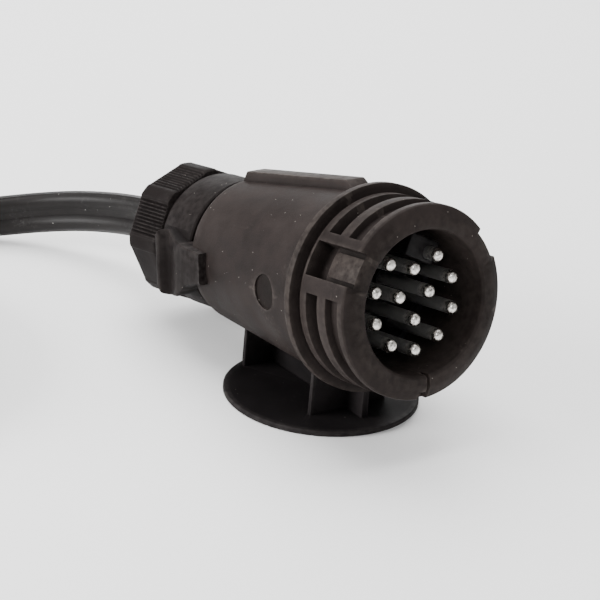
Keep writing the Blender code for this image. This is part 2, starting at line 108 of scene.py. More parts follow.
def block(low, high):
    bm = bmesh.new()
    low, high = Vector(low), Vector(high)
    bmesh.ops.create_cube(bm, size=1)
    bmesh.ops.scale(bm, vec=high - low, verts=bm.verts)
    bmesh.ops.translate(bm, vec=(low + high) / 2, verts=bm.verts)
    return bm


def rod(start, end, radius, steps=48, endRadius=None):
    # a round bar between two points
    start, end = Vector(start), Vector(end)
    span = end - start
    bm = bmesh.new()
    bmesh.ops.create_cone(bm, cap_ends=True, segments=steps, radius1=radius,
                          radius2=radius if endRadius is None else endRadius,
                          depth=span.length)
    turn = span.to_track_quat("Z", "Y").to_matrix().to_4x4()
    place = Matrix.Translation((start + end) / 2) @ turn
    bmesh.ops.transform(bm, matrix=place, verts=bm.verts)
    return bm


def skinLoops(loops):
    # joins a row of closed loops of points with bridged faces and closes both ends
    bm = bmesh.new()
    rings = []
    for points in loops:
        verts = [bm.verts.new(point) for point in points]
        rings.append([bm.edges.new(pair) for pair in zip(verts, verts[1:] + verts[:1])])
    for ring, following in zip(rings, rings[1:]):
        bmesh.ops.bridge_loops(bm, edges=ring + following)
    for ring in (rings[0], rings[-1]):
        bmesh.ops.contextual_create(bm, geom=ring)
    bmesh.ops.recalc_face_normals(bm, faces=bm.faces)
    return bm


def combine(bm, tool, operation="DIFFERENCE"):
    # cuts a tool out of a shape, or joins it on
    solids = []
    for shape in (bm, tool):
        mesh = bpy.data.meshes.new("workpiece")
        shape.to_mesh(mesh)
        shape.free()
        solid = bpy.data.objects.new("workpiece", mesh)
        bpy.context.collection.objects.link(solid)
        solids.append(solid)
    target, other = solids
    modifier = target.modifiers.new("combine", "BOOLEAN")
    modifier.object = other
    modifier.operation = operation
    modifier.solver = "EXACT"
    graph = bpy.context.evaluated_depsgraph_get()
    made = bpy.data.meshes.new_from_object(target.evaluated_get(graph))
    result = bmesh.new()
    result.from_mesh(made)
    bpy.data.meshes.remove(made)
    for solid in solids:
        mesh = solid.data
        bpy.data.objects.remove(solid, do_unlink=True)
        bpy.data.meshes.remove(mesh)
    return result


def finishPiece(name, bm, place, material, body, nodes, smooth=32):
    bmesh.ops.transform(bm, matrix=place, verts=bm.verts)
    mesh = bpy.data.meshes.new(name)
    bm.to_mesh(mesh)
    bm.free()
    mesh.shade_smooth()
    mesh.set_sharp_from_angle(angle=math.radians(smooth))
    mesh.materials.append(material)
    piece = bpy.data.objects.new(name, mesh)
    bpy.context.collection.objects.link(piece)
    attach(piece, body)
    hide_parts(*nodes)
    print("made", name, len(mesh.polygons), "faces")
    return piece


def newGroup(name, inputs, outputs):
    tree = bpy.data.node_groups.new(name, "ShaderNodeTree")
    for label, kind, value in inputs:
        socket = tree.interface.new_socket(name=label, in_out="INPUT", socket_type=kind)
        if value is not None:
            socket.default_value = value
    for label in outputs:
        tree.interface.new_socket(name=label, in_out="OUTPUT",
                                  socket_type="NodeSocketFloat")
    start = tree.nodes.new("NodeGroupInput")
    end = tree.nodes.new("NodeGroupOutput")
    return tree, start, end


def addNode(tree, kind, inputs=None, **settings):
    node = tree.nodes.new(kind)
    for name, value in settings.items():
        setattr(node, name, value)
    for name, value in (inputs or {}).items():
        if isinstance(value, bpy.types.NodeSocket):
            tree.links.new(value, node.inputs[name])
        else:
            node.inputs[name].default_value = value
    return node


def mathNode(tree, operation, first, second=0.0, clamp=False):
    node = addNode(tree, "ShaderNodeMath", {0: first, 1: second}, operation=operation)
    node.use_clamp = clamp
    return node.outputs[0]


def mixColour(tree, amount, first, second):
    node = addNode(tree, "ShaderNodeMix", {0: amount, 6: first, 7: second},
                   data_type="RGBA")
    return node.outputs[2]


def noiseValue(tree, position, scale, detail=2.0, roughness=0.5):
    node = addNode(tree, "ShaderNodeTexNoise",
                   {"Vector": position, "Scale": scale, "Detail": detail,
                    "Roughness": roughness})
    return node.outputs[0]


def rampValue(tree, value, low, high):
    # 0 below low, 1 above high
    node = addNode(tree, "ShaderNodeMapRange", {"Value": value, 1: low, 2: high})
    return node.outputs[0]


def makeMouldedGrain():
    # spark-eroded mould texture, slow tone changes and flow streaks
    tree, start, end = newGroup("mouldedGrain", [
        ("Position", "NodeSocketVector", None), ("Grain Scale", "NodeSocketFloat", 2600.0)],
        ("Height", "Tone", "Gloss"))
    position = start.outputs["Position"]
    fine = noiseValue(tree, position, start.outputs["Grain Scale"], 3.0, 0.6)
    coarse = noiseValue(tree, position, 620.0, 2.0)
    height = mathNode(tree, "ADD", mathNode(tree, "MULTIPLY", fine, 0.7),
                      mathNode(tree, "MULTIPLY", coarse, 0.3))
    slow = noiseValue(tree, position, 42.0, 3.0, 0.55)
    middling = noiseValue(tree, position, 190.0, 3.0, 0.6)
    tone = mathNode(tree, "ADD", mathNode(tree, "MULTIPLY", slow, 0.65),
                    mathNode(tree, "MULTIPLY", middling, 0.35))
    gloss = noiseValue(tree, position, 95.0, 4.0, 0.6)
    tree.links.new(height, end.inputs["Height"])
    tree.links.new(rampValue(tree, tone, 0.36, 0.64), end.inputs["Tone"])
    tree.links.new(rampValue(tree, gloss, 0.32, 0.68), end.inputs["Gloss"])
    return tree


def makeEdgeWearAndHollowShade():
    # rubbed outer edges, broken up by a noise; hollow corners give a mask for painted shade
    tree, start, end = newGroup("edgeWearAndHollowShade", [
        ("Position", "NodeSocketVector", None), ("Pointiness", "NodeSocketFloat", 0.5),
        ("Strength", "NodeSocketFloat", 1.0)], ("Wear", "Hollow Shade"))
    broken = rampValue(tree, noiseValue(tree, start.outputs["Position"], 520.0, 3.0), 0.3, 0.62)
    edge = rampValue(tree, start.outputs["Pointiness"], 0.505, 0.56)
    wear = mathNode(tree, "MULTIPLY", mathNode(tree, "MULTIPLY", edge, broken),
                    start.outputs["Strength"], clamp=True)
    # painted shade: this mask rises in hollow corners, where shade falls
    hollowShade = rampValue(tree, start.outputs["Pointiness"], 0.495, 0.42)
    tree.links.new(wear, end.inputs["Wear"])
    tree.links.new(hollowShade, end.inputs["Hollow Shade"])
    return tree


def makeSpecksAndScuffs():
    # lone pale specks of dust and faint pale rubs
    tree, start, end = newGroup("specksAndScuffs", [
        ("Position", "NodeSocketVector", None), ("Amount", "NodeSocketFloat", 0.5)],
        ("Specks", "Scuffs"))
    cells = addNode(tree, "ShaderNodeTexVoronoi",
                    {"Vector": start.outputs["Position"], "Scale": 480.0})
    chance = addNode(tree, "ShaderNodeSeparateColor", {0: cells.outputs["Color"]})
    gathered = rampValue(tree, noiseValue(tree, start.outputs["Position"], 60.0), 0.42, 0.7)
    rare = mathNode(tree, "LESS_THAN", chance.outputs[0],
                    mathNode(tree, "MULTIPLY", start.outputs["Amount"], gathered))
    dot = mathNode(tree, "LESS_THAN", cells.outputs["Distance"], 0.06)
    specks = mathNode(tree, "MULTIPLY", rare, dot)
    patches = rampValue(tree, noiseValue(tree, start.outputs["Position"], 75.0, 4.0, 0.6),
                        0.58, 0.72)
    hairs = rampValue(tree, noiseValue(tree, start.outputs["Position"], 900.0, 4.0, 0.7),
                      0.5, 0.68)
    scuffs = mathNode(tree, "MULTIPLY", mathNode(tree, "MULTIPLY", patches, hairs),
                      start.outputs["Amount"])
    tree.links.new(specks, end.inputs["Specks"])
    tree.links.new(scuffs, end.inputs["Scuffs"])
    return tree


mouldedGrain = makeMouldedGrain()
edgeWearAndHollowShade = makeEdgeWearAndHollowShade()
specksAndScuffs = makeSpecksAndScuffs()


def startMaterial(name):
    material = bpy.data.materials.new(name)
    material.use_nodes = True
    tree = material.node_tree
    shader = tree.nodes["Principled BSDF"]
    position = tree.nodes.new("ShaderNodeTexCoord").outputs["Object"]
    return material, tree, shader, position


def useGroup(tree, group, **inputs):
    node = tree.nodes.new("ShaderNodeGroup")
    node.node_tree = group
    for name, value in inputs.items():
        socket = node.inputs[name.replace("_", " ")]
        if isinstance(value, bpy.types.NodeSocket):
            tree.links.new(value, socket)
        else:
            socket.default_value = value
    return node


def plasticMaterial(name, look):
    material, tree, shader, position = startMaterial(name)
    pointiness = tree.nodes.new("ShaderNodeNewGeometry").outputs["Pointiness"]
    grain = useGroup(tree, mouldedGrain, Position=position, Grain_Scale=look["grainScale"])
    edges = useGroup(tree, edgeWearAndHollowShade, Position=position, Pointiness=pointiness,
                     Strength=look["wear"])
    marks = useGroup(tree, specksAndScuffs, Position=position, Amount=look["marks"])
    colour = mixColour(tree, grain.outputs["Tone"], (*look["dark"], 1), (*look["light"], 1))
    # painted shade: the colour darkens in hollow corners
    colour = mixColour(tree, mathNode(tree, "MULTIPLY", edges.outputs["Hollow Shade"], 0.6),
                       colour, (*look["hollowShade"], 1))
    colour = mixColour(tree, edges.outputs["Wear"], colour, (*look["worn"], 1))
    colour = mixColour(tree, marks.outputs["Scuffs"], colour, (*look["worn"], 1))
    colour = mixColour(tree, marks.outputs["Specks"], colour, (0.22, 0.20, 0.18, 1))
    tree.links.new(colour, shader.inputs["Base Color"])
    low, high = look["roughness"]
    roughness = addNode(tree, "ShaderNodeMapRange",
                        {"Value": grain.outputs["Gloss"], 3: low, 4: high}).outputs[0]
    roughness = mathNode(tree, "ADD", roughness,
                         mathNode(tree, "MULTIPLY", edges.outputs["Wear"], -0.08), clamp=True)
    tree.links.new(roughness, shader.inputs["Roughness"])
    bump = addNode(tree, "ShaderNodeBump", {"Strength": look["bump"], "Distance": 0.0001,
                                            "Height": grain.outputs["Height"]})
    tree.links.new(bump.outputs[0], shader.inputs["Normal"])
    shader.inputs["Specular IOR Level"].default_value = look["shine"]
    return material


# in each look, the third colour is painted shade for hollow corners
housingPlastic = plasticMaterial("housingPlastic", {
    "dark": (0.0098, 0.0075, 0.0070), "light": (0.0225, 0.0174, 0.0162),
    "hollowShade": (0.003, 0.0025, 0.002), "worn": (0.045, 0.037, 0.033),
    "roughness": (0.52, 0.66), "shine": 0.05, "grainScale": 2600.0, "bump": 0.55,
    "wear": 0.9, "marks": 0.9})
glandPlastic = plasticMaterial("glandPlastic", {
    "dark": (0.0046, 0.0033, 0.0032), "light": (0.0078, 0.0059, 0.0056),
    "hollowShade": (0.0015, 0.0012, 0.0012), "worn": (0.026, 0.022, 0.021),
    "roughness": (0.55, 0.68), "shine": 0.05, "grainScale": 2300.0, "bump": 0.45,
    "wear": 0.8, "marks": 0.4})
footPlastic = plasticMaterial("footPlastic", {
    "dark": (0.0085, 0.0070, 0.0073), "light": (0.0140, 0.0118, 0.0123),
    "hollowShade": (0.003, 0.003, 0.003), "worn": (0.03, 0.027, 0.026),
    "roughness": (0.60, 0.74), "shine": 0.05, "grainScale": 1700.0, "bump": 0.25,
    "wear": 0.6, "marks": 0.5})
insertPlastic = plasticMaterial("insertPlastic", {
    "dark": (0.0015, 0.0013, 0.0015), "light": (0.0032, 0.0028, 0.0030),
    "hollowShade": (0.001, 0.001, 0.001), "worn": (0.02, 0.018, 0.018),
    "roughness": (0.40, 0.55), "shine": 0.12, "grainScale": 2000.0, "bump": 0.4,
    "wear": 0.5, "marks": 0.3})
sealRubber = plasticMaterial("sealRubber", {
    "dark": (0.006, 0.006, 0.0065), "light": (0.010, 0.010, 0.0105),
    "hollowShade": (0.003, 0.003, 0.003), "worn": (0.03, 0.03, 0.03),
    "roughness": (0.62, 0.78), "shine": 0.3, "grainScale": 1500.0, "bump": 0.3,
    "wear": 0.3, "marks": 0.2})


def metalMaterial(name, colour, tarnish, roughness, streaks):
    material, tree, shader, position = startMaterial(name)
    scratches = addNode(tree, "ShaderNodeMapping",
                        {"Vector": position, "Scale": streaks})
    brushed = noiseValue(tree, scratches.outputs[0], 1500.0, 3.0, 0.6)
    cloud = rampValue(tree, noiseValue(tree, position, 420.0, 3.0, 0.6), 0.45, 0.75)
    tree.links.new(mixColour(tree, cloud, (*colour, 1), (*tarnish, 1)),
                   shader.inputs["Base Color"])
    low, high = roughness
    tree.links.new(addNode(tree, "ShaderNodeMapRange",
                           {"Value": brushed, 3: low, 4: high}).outputs[0],
                   shader.inputs["Roughness"])
    bump = addNode(tree, "ShaderNodeBump", {"Strength": 0.25, "Distance": 0.00005,
                                            "Height": brushed})
    tree.links.new(bump.outputs[0], shader.inputs["Normal"])
    shader.inputs["Metallic"].default_value = 1.0
    return material


springSteel = metalMaterial("springSteel", (0.13, 0.13, 0.14), (0.07, 0.07, 0.08),
                            (0.32, 0.48), (1, 1, 1))


def nickelMaterial():
    # bright rubbed tips, with grainy painted shade that deepens down the shank
    material, tree, shader, position = startMaterial("nickelPin")
    along = addNode(tree, "ShaderNodeAttribute", attribute_name="alongPin").outputs["Fac"]
    pits = noiseValue(tree, position, 3400.0, 3.0, 0.7)
    # painted shade: darker and greyer down the shank, where the bore's shade falls
    shankShade = rampValue(tree, mathNode(tree, "ADD", along, mathNode(tree, "MULTIPLY", pits, 0.5)),
                     0.30, 0.80)
    # painted reflections: dark spots on the bright tips
    tipReflectionSpots = rampValue(tree, noiseValue(tree, position, 1300.0, 2.0, 0.5), 0.52, 0.62)
    bright = mixColour(tree, mathNode(tree, "MULTIPLY", tipReflectionSpots, 0.7),
                       (0.72, 0.69, 0.65, 1), (0.12, 0.11, 0.10, 1))
    # the dark colour mixed in here is painted shank shade
    tree.links.new(mixColour(tree, shankShade, bright, (0.19, 0.185, 0.18, 1)),
                   shader.inputs["Base Color"])
    tree.links.new(addNode(tree, "ShaderNodeMapRange",
                           {"Value": shankShade, 3: 0.24, 4: 0.5}).outputs[0],
                   shader.inputs["Roughness"])
    tree.links.new(addNode(tree, "ShaderNodeMapRange",
                           {"Value": shankShade, 3: 1.0, 4: 0.75}).outputs[0],
                   shader.inputs["Metallic"])
    bump = addNode(tree, "ShaderNodeBump", {"Strength": 0.5, "Distance": 0.0001,
                                            "Height": pits})
    tree.links.new(bump.outputs[0], shader.inputs["Normal"])
    return material


nickelPin = nickelMaterial()


def jacketMaterial(name, dark, light, roughness, shine):
    # extruded jacket: fine lines along the run, from the piece's own UV map
    material, tree, shader, position = startMaterial(name)
    wrap = tree.nodes.new("ShaderNodeTexCoord").outputs["UV"]
    lines = addNode(tree, "ShaderNodeMapping", {"Vector": wrap, "Scale": (6, 260, 1)})
    drawn = noiseValue(tree, lines.outputs[0], 1.0, 3.0, 0.6)
    grain = useGroup(tree, mouldedGrain, Position=position, Grain_Scale=1900.0)
    marks = useGroup(tree, specksAndScuffs, Position=position, Amount=0.45)
    colour = mixColour(tree, grain.outputs["Tone"], (*dark, 1), (*light, 1))
    colour = mixColour(tree, marks.outputs["Scuffs"], colour, (0.08, 0.076, 0.074, 1))
    colour = mixColour(tree, marks.outputs["Specks"], colour, (0.4, 0.39, 0.37, 1))
    tree.links.new(colour, shader.inputs["Base Color"])
    low, high = roughness
    tree.links.new(addNode(tree, "ShaderNodeMapRange",
                           {"Value": drawn, 3: low, 4: high}).outputs[0],
                   shader.inputs["Roughness"])
    bump = addNode(tree, "ShaderNodeBump", {"Strength": 0.35, "Distance": 0.0001,
                                            "Height": drawn})
    tree.links.new(bump.outputs[0], shader.inputs["Normal"])
    shader.inputs["Specular IOR Level"].default_value = shine
    return material


cableJacket = jacketMaterial("cableJacket", dark=(0.0090, 0.0080, 0.0078),
                             light=(0.0140, 0.0125, 0.0122), roughness=(0.34, 0.48),
                             shine=0.12)


def leadMaterial(name, colour):
    material, tree, shader, position = startMaterial(name)
    grain = useGroup(tree, mouldedGrain, Position=position, Grain_Scale=1500.0)
    shade = [channel * 0.6 for channel in colour]
    tree.links.new(mixColour(tree, grain.outputs["Tone"], (*shade, 1), (*colour, 1)),
                   shader.inputs["Base Color"])
    tree.links.new(addNode(tree, "ShaderNodeMapRange",
                           {"Value": grain.outputs["Gloss"], 3: 0.3, 4: 0.45}).outputs[0],
                   shader.inputs["Roughness"])
    bump = addNode(tree, "ShaderNodeBump", {"Strength": 0.2, "Distance": 0.00005,
                                            "Height": grain.outputs["Height"]})
    tree.links.new(bump.outputs[0], shader.inputs["Normal"])
    return material


leadColours = {"lead_red": (0.45, 0.03, 0.02), "lead_white": (0.7, 0.7, 0.66),
               "lead_blue": (0.03, 0.08, 0.4), "lead_brown": (0.12, 0.05, 0.02)}
leadPlastics = {slotName: leadMaterial(slotName.replace("_", "") + "Plastic", colour)
                for slotName, colour in leadColours.items()}


def webbingMaterial():
    # woven strap, with the weave read from the strap's own UV map in millimetres
    material, tree, shader, position = startMaterial("strapWebbing")
    wrap = tree.nodes.new("ShaderNodeTexCoord").outputs["UV"]
    rows = addNode(tree, "ShaderNodeTexWave", {"Vector": wrap, "Scale": 1.1,
                                               "Distortion": 0.6}, bands_direction="X")
    columns = addNode(tree, "ShaderNodeTexWave", {"Vector": wrap, "Scale": 1.4,
                                                  "Distortion": 0.6}, bands_direction="Y")
    weave = mathNode(tree, "MULTIPLY", rows.outputs[1], columns.outputs[1])
    fuzz = noiseValue(tree, position, 3000.0, 3.0, 0.7)
    colour = mixColour(tree, weave, (0.003, 0.003, 0.0035, 1), (0.014, 0.0135, 0.014, 1))
    tree.links.new(colour, shader.inputs["Base Color"])
    shader.inputs["Roughness"].default_value = 0.85
    shader.inputs["Sheen Weight"].default_value = 0.05
    shader.inputs["Specular IOR Level"].default_value = 0.15
    height = mathNode(tree, "ADD", weave, mathNode(tree, "MULTIPLY", fuzz, 0.5))
    bump = addNode(tree, "ShaderNodeBump", {"Strength": 0.8, "Distance": 0.0002,
                                            "Height": height})
    tree.links.new(bump.outputs[0], shader.inputs["Normal"])
    return material


strapWebbing = webbingMaterial()
print("materials ready")

camera = {"lens": 121.2, "place": (0.4072, -0.3082, 0.2324), "aim": (0.0370, -0.0254, 0.0400),
          "roll": math.radians(4.56)}
cameraData = bpy.data.cameras.new("camera")
cameraData.lens = camera["lens"]
cameraData.sensor_width = 36
cameraData.clip_start = 0.01
cameraObject = bpy.data.objects.new("camera", cameraData)
bpy.context.collection.objects.link(cameraObject)
cameraObject.location = camera["place"]
gaze = (Vector(camera["aim"]) - Vector(camera["place"])).to_track_quat("-Z", "Y")
cameraObject.rotation_mode = "QUATERNION"
cameraObject.rotation_quaternion = gaze @ Quaternion((0, 0, 1), camera["roll"])
bpy.context.scene.camera = cameraObject

lights = {
    "keySoftbox": {"place": (-0.35, -0.90, 0.32), "size": 0.55, "power": 19},
    "topSoftbox": {"place": (-0.40, 0.10, 1.15), "size": 1.2, "power": 29},
    "backSoftbox": {"place": (-0.80, 0.55, 0.45), "size": 0.5, "power": 4},
    "frontCard": {"place": (0.80, -0.40, 0.60), "size": 0.25, "power": 2.5}}
lightAim = Vector((0, 0, 0.03))
for name, light in lights.items():
    lamp = bpy.data.lights.new(name, "AREA")
    lamp.size = light["size"]
    lamp.energy = light["power"]
    lampObject = bpy.data.objects.new(name, lamp)
    bpy.context.collection.objects.link(lampObject)
    lampObject.location = light["place"]
    lampObject.rotation_mode = "QUATERNION"
    beam = lightAim - Vector(light["place"])
    lampObject.rotation_quaternion = beam.to_track_quat("-Z", "Y")

world = bpy.data.worlds.new("studio")
bpy.context.scene.world = world
world.use_nodes = True
background = world.node_tree.nodes["Background"]
background.inputs["Color"].default_value = (1, 1, 1, 1)
background.inputs["Strength"].default_value = 0.62


def makeFloor():
    bm = bmesh.new()
    bmesh.ops.create_grid(bm, x_segments=2, y_segments=2, size=4)
    mesh = bpy.data.meshes.new("floor")
    bm.to_mesh(mesh)
    bm.free()
    material, tree, shader, position = startMaterial("floorPaper")
    tone = noiseValue(tree, position, 3.0, 2.0)
    tree.links.new(mixColour(tree, tone, (0.90, 0.90, 0.90, 1), (0.94, 0.94, 0.94, 1)),
                   shader.inputs["Base Color"])
    shader.inputs["Roughness"].default_value = 0.9
    mesh.materials.append(material)
    floor = bpy.data.objects.new("floor", mesh)
    bpy.context.collection.objects.link(floor)


makeFloor()
print("camera and light ready")


# The strap goes round the coil in the box of its CAD solid
strap = {"thickness": 0.8, "bend": 1.6, "bendSteps": 6, "edge": 0.2}


def makeStrap():
    low, high = [Vector(corner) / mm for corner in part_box("cable_tie")]
    middle = (low + high) / 2
    bend, steps = strap["bend"], strap["bendSteps"]
    corners = ((low.y, low.z, 180), (high.y, low.z, 270), (high.y, high.z, 0),
               (low.y, high.z, 90))
    loops = []
    for inset in (0.0, strap["thickness"]):
        points = []
        for y, z, startAngle in corners:
            bendY = y + math.copysign(bend, middle.y - y)
            bendZ = z + math.copysign(bend, middle.z - z)
            for step in range(steps + 1):
                angle = math.radians(startAngle + 90 * step / steps)
                reach = bend - inset
                points.append((bendY + reach * math.cos(angle),
                               bendZ + reach * math.sin(angle)))
        loops.append(points)
    bm = bmesh.new()
    rings = []
    for points in loops:
        verts = [bm.verts.new((low.x, y, z)) for y, z in points]
        rings.append([bm.edges.new(pair) for pair in zip(verts, verts[1:] + verts[:1])])
    bmesh.ops.bridge_loops(bm, edges=rings[0] + rings[1])
    flat = list(bm.faces)
    grown = bmesh.ops.extrude_face_region(bm, geom=flat)["geom"]
    bmesh.ops.translate(bm, vec=(high.x - low.x, 0, 0),
                        verts=[item for item in grown if isinstance(item, bmesh.types.BMVert)])
    bmesh.ops.recalc_face_normals(bm, faces=bm.faces)
    softenEdges(bm, strap["edge"], sharpness=60)
    uv = bm.loops.layers.uv.new("weave")
    for face in bm.faces:
        for loop in face.loops:
            spot = loop.vert.co
            loop[uv].uv = (spot.x, spot.y if abs(face.normal.z) > 0.5 else spot.z)
    return finishPiece("coilStrap", bm, Matrix.Scale(mm, 4), strapWebbing, "body",
                       ("cable_tie",), smooth=45)


strapPiece = makeStrap()


# A flat three-core lead on edge, then a neat coil on the floor
cable = {
    "route": ((-34.9, 0.0, 26.5), (-47.1, 0.0, 24.5), (-60.9, 0.0, 22.3),
              (-75.0, -0.9, 19.8), (-89.0, -3.6, 17.0), (-101.5, -8.6, 14.1),
              (-111.8, -15.4, 11.2), (-119.6, -24.2, 8.8), (-125.0, -34.5, 7.3),
              (-128.2, -46.5, 6.8), (-130.4, -61.0, 6.9), (-133.6, -93.8, 7.2),
              (-138.2, -120.3, 7.5)),
    "coilCentre": (-72.4, -131.9, 7.5), "outerTurn": 66.8, "turns": 3.75, "pitch": 5.9,
    "entryAngle": math.radians(170), "pointsPerTurn": 72,
    # height of each core above the middle, and its radius
    "cores": ((3.55, 2.72), (0.25, 1.75), (-3.35, 2.88)),
    "skinHalf": 1.1, "samples": 22, "stepsPerSpan": 6}


def smoothPath(points, perSpan):
    # Catmull-Rom curve through the points
    padded = [points[0] * 2 - points[1]] + points + [points[-1] * 2 - points[-2]]
    path = []
    for before, first, second, after in zip(padded, padded[1:], padded[2:], padded[3:]):
        for step in range(perSpan):
            t = step / perSpan
            path.append(0.5 * (2 * first + (second - before) * t
                               + (2 * before - 5 * first + 4 * second - after) * t ** 2
                               + (3 * first - before - 3 * second + after) * t ** 3))
    path.append(points[-1])
    return path


def cableSection():
    # outline of the three cores and the skin between them, as (side, height) pairs
    top = max(height + radius for height, radius in cable["cores"])
    bottom = min(height - radius for height, radius in cable["cores"])
    side = []
    count = cable["samples"]
    for step in range(count + 1):
        height = (top + bottom) / 2 + (top - bottom) / 2 * math.cos(math.pi * step / count)
        widths = [math.sqrt(max(radius ** 2 - (height - centre) ** 2, 0))
                  for centre, radius in cable["cores"]]
        skin = cable["skinHalf"] if 0 < step < count else 0
        side.append((max(*widths, skin), height))
    return side + [(-width, height) for width, height in side[-2:0:-1]]


def makeCable():
    route = [Vector(point) for point in cable["route"]]
    path = smoothPath(route, cable["stepsPerSpan"])
    centre = Vector(cable["coilCentre"])
    count = round(cable["turns"] * cable["pointsPerTurn"])
    for step in range(1, count + 1):
        turn = step / cable["pointsPerTurn"]
        angle = cable["entryAngle"] + turn * math.tau
        radius = cable["outerTurn"] - cable["pitch"] * turn
        path.append(centre + Vector((radius * math.cos(angle), radius * math.sin(angle), 0)))
    section = cableSection()
    loops = []
    for index, point in enumerate(path):
        ahead = (path[min(index + 1, len(path) - 1)] - path[max(index - 1, 0)]).normalized()
        side = ahead.cross(Vector((0, 0, 1))).normalized()
        up = side.cross(ahead)
        loops.append([point + side * across + up * height for across, height in section])
    bm = skinLoops(loops)
    cleanUp(bm)
    run = [0.0]
    for first, second in zip(path, path[1:]):
        run.append(run[-1] + (second - first).length)
    uv = bm.loops.layers.uv.new("wrap")
    bm.verts.ensure_lookup_table()
    size = len(section)
    for face in bm.faces:
        columns = [loop.vert.index % size for loop in face.loops]
        wrapped = max(columns) - min(columns) > size / 2
        for loop, column in zip(face.loops, columns):
            across = column + size if wrapped and column < size / 2 else column
            loop[uv].uv = (run[min(loop.vert.index // size, len(run) - 1)] * mm,
                           across / size)
    piece = finishPiece("cableRun", bm, Matrix.Scale(mm, 4), cableJacket, "body",
                        ("cable_lead", "cable_coil"), smooth=50)


makeCable()


housing = {
    "steps": 240, "spacing": 2.0, "edge": 0.22,
    # faces beyond these radii are the outer skin, round the grooves and in the slots
    "grooveSkin": 25, "slotSkin": 23.4,
    # a slot spans a few degrees either way; its side walls lie between the two wall angles
    "slotAngles": (29.5, 150.5), "slotSpan": 10, "slotWalls": (9.0, 11.2), "wallRadius": 20,
    "slotHalfWidth": 4.6, "slotFloor": 22.05, "slotFront": -0.1, "slotEnd": -18.2,
    "pocketStart": -13.5, "pocketFloor": 20.4,
    # rear x, front x, floor radius of the two grooves, and the angles they span
    "grooves": ((-8.5, -3.6, 23.3), (-16.5, -11.9, 20.6)),
    "grooveSpans": ((46.5, 133.5), (171.0, 369.0)),
    "outline": (
        (-0.6, 18.8), (0, 19.4), (0, 22.0), (-1.3, 24.9), (-1.8, 25.2), (-3.6, 25.2),
        (-8.5, 25.2), (-11.9, 25.2), (-13.5, 25.2), (-16.5, 25.2), (-18.2, 25.2),
        (-19.0, 25.2), (-19.0, 24.4), (-20.5, 24.4), (-20.5, 27.45), (-22.6, 27.45),
        (-22.6, 25.75), (-48.0, 23.2), (-75.2, 20.4), (-76.6, 20.0), (-77.8, 19.2),
        (-78.7, 18.1), (-79.2, 16.8), (-95.7, 16.8), (-95.7, 15.2), (-108.6, 15.2),
        (-108.6, 12.3), (-94.0, 12.3), (-94.0, 9.5), (-79.5, 9.5), (-72.5, 17.0),
        (-40.0, 17.0), (-40.0, 18.8), (-24.0, 18.8), (-24.0, 19.9), (-22.2, 19.9),
        (-22.2, 18.8)),
    "rib": ((-76.8, 15.5, 18.4), (-73.8, 17.0, 23.1), (-28.5, 21.0, 27.6),
            (-24.8, 21.5, 25.2)),
    # rear, front and half width of the raised pad in each slot, its top and its corners
    "pad": (-12.8, -0.6, 3.3, 22.55), "padCorner": 1.7, "padDepth": 2.6, "padEdge": 0.18,
    # opposite corners of the cuts in the collar's underside
    "slit": ((-3.4, 0.2, -30), (2, 1.1, -15)),
    "underGroove": ((-23.0, -2.0, -31), (1.9, 0.2, -23.1)),
    "ribHalfWidth": 3.0, "ribEdge": 0.35,
    "recessX": -36.0, "recessRadius": 4.7, "recessFloor": 23.4, "recessStart": 30}


def polarOf(point):
    return math.hypot(point.y, point.z), math.degrees(math.atan2(point.z, point.y)) % 360


def outerFaces(bm, rear, front, angleFrom, angleTo, innerRadius):
    found = []
    for face in bm.faces:
        spot = face.calc_center_median()
        radius, angle = polarOf(spot)
        if (rear < spot.x < front and radius > innerRadius
                and 0 < (angle - angleFrom) % 360 < angleTo - angleFrom):
            found.append(face)
    return found


def sinkFaces(bm, faces, floor):
    # pushes a patch of the outer skin in to a floor radius
    grown = bmesh.ops.extrude_face_region(bm, geom=faces)
    for vert in (item for item in grown["geom"] if isinstance(item, bmesh.types.BMVert)):
        radius = polarOf(vert.co)[0]
        if radius > floor:
            vert.co.y *= floor / radius
            vert.co.z *= floor / radius
    bmesh.ops.delete(bm, geom=faces, context="FACES")
    return [item for item in grown["geom"] if isinstance(item, bmesh.types.BMFace)]


def squareSlot(bm, slotAngle):
    # makes the two sides of a slot parallel
    out = Vector((0, math.cos(math.radians(slotAngle)), math.sin(math.radians(slotAngle))))
    across = Vector((0, -out.z, out.y))
    rear, front = housing["slotEnd"] - 0.1, housing["slotFront"]
    inner, outer = housing["slotWalls"]
    for vert in bm.verts:
        radius, angle = polarOf(vert.co)
        offset = (angle - slotAngle + 180) % 360 - 180
        if (rear < vert.co.x < front and radius > housing["wallRadius"]
                and inner < abs(offset) < outer):
            side = math.copysign(housing["slotHalfWidth"], offset)
            flat = out * math.sqrt(radius ** 2 - side ** 2) + across * side
            vert.co.y, vert.co.z = flat.y, flat.z


def slotPad(slotAngle):
    # the raised floor of a slot, with rounded rear corners
    rear, front, half, top = housing["pad"]
    pad = block((rear, -half, top - housing["padDepth"]), (front, half, top))
    corners = [edge for edge in pad.edges
               if all(vert.co.x < rear + 0.1 for vert in edge.verts)
               and abs(edge.verts[0].co.y - edge.verts[1].co.y) < 0.1]
    bmesh.ops.bevel(pad, geom=corners, offset=housing["padCorner"], offset_type="OFFSET",
                    segments=6, profile=0.5, affect="EDGES", material=-1)
    softenEdges(pad, housing["padEdge"], sharpness=60)
    bmesh.ops.rotate(pad, verts=pad.verts, cent=(0, 0, 0),
                     matrix=Matrix.Rotation(math.radians(slotAngle) - math.pi / 2, 3, "X"))
    return pad


